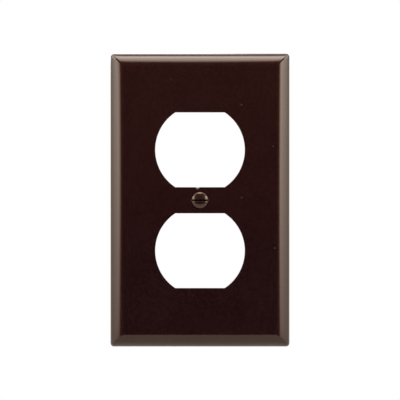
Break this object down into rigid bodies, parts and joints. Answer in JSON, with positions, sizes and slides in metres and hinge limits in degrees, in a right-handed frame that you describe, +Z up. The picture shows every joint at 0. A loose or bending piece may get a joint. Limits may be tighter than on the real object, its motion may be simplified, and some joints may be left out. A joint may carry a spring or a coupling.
{
  "type": "duplex receptacle wall plate",
  "caption": "Bevelled moulded cover plate with round-sided, flat-topped device openings and a slotted oval-head screw held captive by a washer behind it.",
  "frame": {"origin": "on the screw's axis, at the wall plane on which the plate's rim lies", "axes": "+Z up along the plate's height, +X across its width to the viewer's right, +Y into the wall, so the front face looks to -Y"},
  "size_m": [0.0698, 0.0138, 0.1142],
  "materials": {
    "brown_plastic": "smooth glossy dark brown moulding",
    "brown_painted_steel": "dark brown enamel over steel, satin gloss",
    "natural_nylon": "uncoloured nylon, slightly milky"
  },
  "bodies": {
    "plate": {"wall_plate": "brown_plastic"},
    "washer": {"retaining_washer": "natural_nylon"},
    "screw": {"mounting_screw": "brown_painted_steel"}
  },
  "joints": [
    {"name": "screw_travel", "type": "slide", "parent": "plate", "child": "washer", "axis": [0, -1, 0], "range_m": [0, 0.00119]},
    {"name": "screw_turn", "type": "hinge", "parent": "washer", "child": "screw", "pos_m": [0, 0, 0], "axis": [0, -1, 0], "range_deg": [0, 540]}
  ],
  "couplings": [
    {"joint": "screw_turn", "follows": "screw_travel", "rad_per_m": 7915.8}
  ]
}
